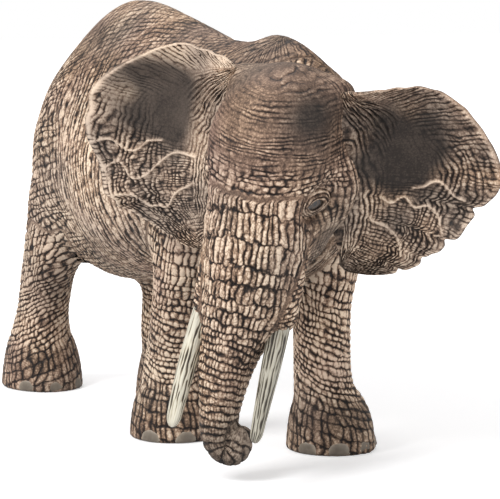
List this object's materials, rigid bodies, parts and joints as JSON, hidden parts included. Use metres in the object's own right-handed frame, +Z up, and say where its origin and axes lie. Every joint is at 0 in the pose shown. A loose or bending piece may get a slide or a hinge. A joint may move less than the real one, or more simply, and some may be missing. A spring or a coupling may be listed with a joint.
{
  "type": "toy elephant figure",
  "caption": "Standing African elephant play figure in painted rigid plastic, head turned to its right, ears spread, tusks and a curled trunk tip.",
  "frame": {"origin": "centre of the figure's bounding box in plan, on the plane of the soles", "axes": "+Z up from the ground, -Y the way the body faces, +X towards the animal's left side"},
  "size_m": [0.0584, 0.1394, 0.0848],
  "materials": {
    "hide_paint": "matt grey-brown paint with dark wash in the wrinkles and dry-brushed tan ridges, on rigid PVC",
    "ivory_paint": "satin ivory paint with grey-brown streaks, on rigid PVC",
    "tail_paint": "matt dark brown paint on rigid PVC"
  },
  "bodies": {
    "root": {"torso_left_shell": "hide_paint", "torso_right_shell": "hide_paint", "front_right_leg": "hide_paint", "front_left_leg": "hide_paint", "rear_right_leg": "hide_paint", "rear_left_leg": "hide_paint", "head": "hide_paint", "right_ear": "hide_paint", "left_ear": "hide_paint", "left_tusk": "ivory_paint", "right_tusk": "ivory_paint", "tail": "tail_paint"}
  },
  "joints": []
}
